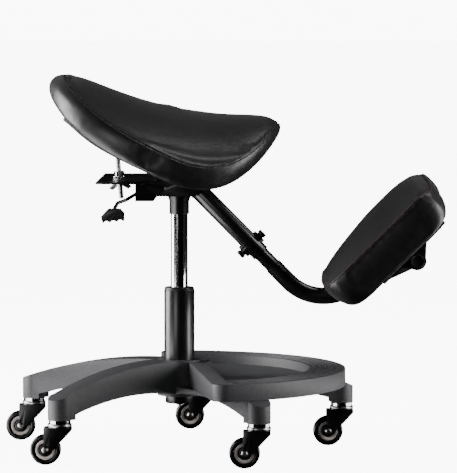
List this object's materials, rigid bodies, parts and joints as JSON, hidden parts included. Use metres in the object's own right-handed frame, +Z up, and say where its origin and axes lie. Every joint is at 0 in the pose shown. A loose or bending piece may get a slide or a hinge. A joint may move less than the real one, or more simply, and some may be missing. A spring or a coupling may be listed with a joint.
{
  "type": "kneeling chair",
  "caption": "Kneeling chair with a tilting saddle seat, gas lift, telescopic arm with arched knee pad, and a moulded five-arm base with foot tray and casters.",
  "frame": {"origin": "on the floor under the column's axis", "axes": "+Z up, +X from the seat towards the knee pad, +Y to the left of a person on the seat"},
  "size_m": [0.7341, 0.549, 0.6219],
  "materials": {
    "nylon": "moulded glass-filled nylon with a fine sand texture",
    "black_steel": "satin black powder coat",
    "chrome": "polished chrome plate",
    "zinc_steel": "zinc plated steel",
    "grip_plastic": "moulded black plastic",
    "leatherette": "soft black grained leatherette over foam",
    "shell_board": "black moulded board",
    "rim_plastic": "glossy cream plastic",
    "tyre": "glossy black polyurethane tread"
  },
  "bodies": {
    "base": {"base_star": "nylon", "foot_tray": "nylon", "tray_screws": "zinc_steel", "column_tube": "black_steel", "column_guide": "grip_plastic", "thrust_bearing": "grip_plastic", "caster_stems": "chrome"},
    "lift_rod": {"piston_rod": "zinc_steel", "rod_clip": "zinc_steel"},
    "carrier": {"gas_cylinder": "chrome", "socket_tube": "black_steel", "mechanism_housing": "black_steel", "tilt_plate": "black_steel", "seat_hinge_pin": "zinc_steel", "lever_pin": "zinc_steel", "arm_tube": "black_steel"},
    "release": {"release_pin": "zinc_steel"},
    "lever": {"lever_wire": "black_steel", "lever_paddle": "grip_plastic"},
    "seat": {"seat_cushion": "leatherette", "seat_shell": "shell_board", "seat_pan": "black_steel", "seat_bolts": "zinc_steel", "adjuster_lug": "black_steel"},
    "adjuster": {"tilt_rod": "zinc_steel"},
    "stop_nut": {"tilt_nut": "chrome"},
    "hand_nut": {"wing_nut": "zinc_steel"},
    "knee_arm": {"inner_tube": "black_steel", "bent_tube": "black_steel", "pivot_barrel": "black_steel"},
    "upper_clamp": {"clamp_bolt_upper": "black_steel"},
    "lower_clamp": {"clamp_bolt_lower": "black_steel"},
    "knee_pad": {"knee_cushion": "leatherette", "knee_shell": "shell_board", "knee_bracket": "black_steel", "knee_bolts": "zinc_steel", "pivot_bolt": "zinc_steel"},
    "knob": {"pivot_knob": "grip_plastic"},
    "fork_a": {"caster_fork_a": "black_steel", "caster_axle_a": "zinc_steel"},
    "wheel_a": {"caster_rim_a": "rim_plastic", "caster_tyre_a": "tyre"},
    "fork_b": {"caster_fork_b": "black_steel", "caster_axle_b": "zinc_steel"},
    "wheel_b": {"caster_rim_b": "rim_plastic", "caster_tyre_b": "tyre"},
    "fork_c": {"caster_fork_c": "black_steel", "caster_axle_c": "zinc_steel"},
    "wheel_c": {"caster_rim_c": "rim_plastic", "caster_tyre_c": "tyre"},
    "fork_d": {"caster_fork_d": "black_steel", "caster_axle_d": "zinc_steel"},
    "wheel_d": {"caster_rim_d": "rim_plastic", "caster_tyre_d": "tyre"},
    "fork_e": {"caster_fork_e": "black_steel", "caster_axle_e": "zinc_steel"},
    "wheel_e": {"caster_rim_e": "rim_plastic", "caster_tyre_e": "tyre"}
  },
  "joints": [
    {"name": "column_swivel", "type": "hinge", "parent": "base", "child": "lift_rod", "pos_m": [0, 0, 0.077], "axis": [0, 0, 1], "continuous": true},
    {"name": "lift_slide", "type": "slide", "parent": "lift_rod", "child": "carrier", "axis": [0, 0, 1], "range_m": [-0.095, 0]},
    {"name": "seat_tilt", "type": "hinge", "parent": "carrier", "child": "seat", "pos_m": [0.036, 0, 0.455], "axis": [0, 1, 0], "range_deg": [-12, 6]},
    {"name": "adjuster_swing", "type": "hinge", "parent": "seat", "child": "adjuster", "pos_m": [-0.1023, 0, 0.497], "axis": [0, 1, 0], "range_deg": [-7, 13]},
    {"name": "stop_nut_travel", "type": "slide", "parent": "adjuster", "child": "stop_nut", "axis": [-0.0854, 0, 0.9963], "range_m": [-0.016, 0.031]},
    {"name": "hand_nut_spin", "type": "hinge", "parent": "stop_nut", "child": "hand_nut", "pos_m": [-0.09733, 0, 0.439], "axis": [-0.0854, 0, 0.9963], "continuous": true},
    {"name": "lever_lift", "type": "hinge", "parent": "carrier", "child": "lever", "pos_m": [-0.022, 0, 0.431], "axis": [0, 1, 0], "range_deg": [0, 8], "stiffness_Nm_per_rad": 0.5, "springref_deg": -2.86},
    {"name": "release_travel", "type": "slide", "parent": "carrier", "child": "release", "axis": [0, 0, 1], "range_m": [-0.004, 0.0002]},
    {"name": "arm_slide", "type": "slide", "parent": "carrier", "child": "knee_arm", "axis": [0.7034, 0, -0.7108], "range_m": [-0.02, 0.07]},
    {"name": "upper_clamp_turn", "type": "hinge", "parent": "carrier", "child": "upper_clamp", "pos_m": [0.11846, 0, 0.33874], "axis": [0.7108, 0, 0.7034], "continuous": true},
    {"name": "lower_clamp_turn", "type": "hinge", "parent": "carrier", "child": "lower_clamp", "pos_m": [0.11846, 0, 0.33874], "axis": [0.7108, 0, 0.7034], "continuous": true},
    {"name": "knee_tilt", "type": "hinge", "parent": "knee_arm", "child": "knee_pad", "pos_m": [0.389, 0, 0.3145], "axis": [0, 1, 0], "range_deg": [0, 25]},
    {"name": "knob_turn", "type": "hinge", "parent": "knee_pad", "child": "knob", "pos_m": [0.389, -0.05, 0.3145], "axis": [0, 1, 0], "continuous": true},
    {"name": "caster_swivel_a", "type": "hinge", "parent": "base", "child": "fork_a", "pos_m": [-0.24818, 0.11206, 0.062], "axis": [0, 0, 1], "continuous": true},
    {"name": "wheel_spin_a", "type": "hinge", "parent": "fork_a", "child": "wheel_a", "pos_m": [-0.27065, 0.11107, 0.0248], "axis": [-0.0436, 0.999, 0], "continuous": true},
    {"name": "caster_swivel_b", "type": "hinge", "parent": "base", "child": "fork_b", "pos_m": [-0.18326, -0.2014, 0.062], "axis": [0, 0, 1], "continuous": true},
    {"name": "wheel_spin_b", "type": "hinge", "parent": "fork_b", "child": "wheel_b", "pos_m": [-0.20576, -0.2012, 0.0248], "axis": [0.0087, 1, 0], "continuous": true},
    {"name": "caster_swivel_c", "type": "hinge", "parent": "base", "child": "fork_c", "pos_m": [0.02988, 0.27066, 0.062], "axis": [0, 0, 1], "continuous": true},
    {"name": "wheel_spin_c", "type": "hinge", "parent": "fork_c", "child": "wheel_c", "pos_m": [0.00745, 0.26889, 0.0248], "axis": [-0.0785, 0.9969, 0], "continuous": true},
    {"name": "caster_swivel_d", "type": "hinge", "parent": "base", "child": "fork_d", "pos_m": [0.13491, -0.23653, 0.062], "axis": [0, 0, 1], "continuous": true},
    {"name": "wheel_spin_d", "type": "hinge", "parent": "fork_d", "child": "wheel_d", "pos_m": [0.11241, -0.23672, 0.0248], "axis": [-0.0087, 1, 0], "continuous": true},
    {"name": "caster_swivel_e", "type": "hinge", "parent": "base", "child": "fork_e", "pos_m": [0.26664, 0.05522, 0.062], "axis": [0, 0, 1], "continuous": true},
    {"name": "wheel_spin_e", "type": "hinge", "parent": "fork_e", "child": "wheel_e", "pos_m": [0.24418, 0.05384, 0.0248], "axis": [-0.061, 0.9981, 0], "continuous": true}
  ],
  "couplings": [
    {"joint": "adjuster_swing", "follows": "seat_tilt", "ratio": -1},
    {"joint": "stop_nut_travel", "follows": "seat_tilt", "m_per_rad": -0.14024},
    {"joint": "release_travel", "follows": "lever_lift", "m_per_rad": -0.0258}
  ]
}
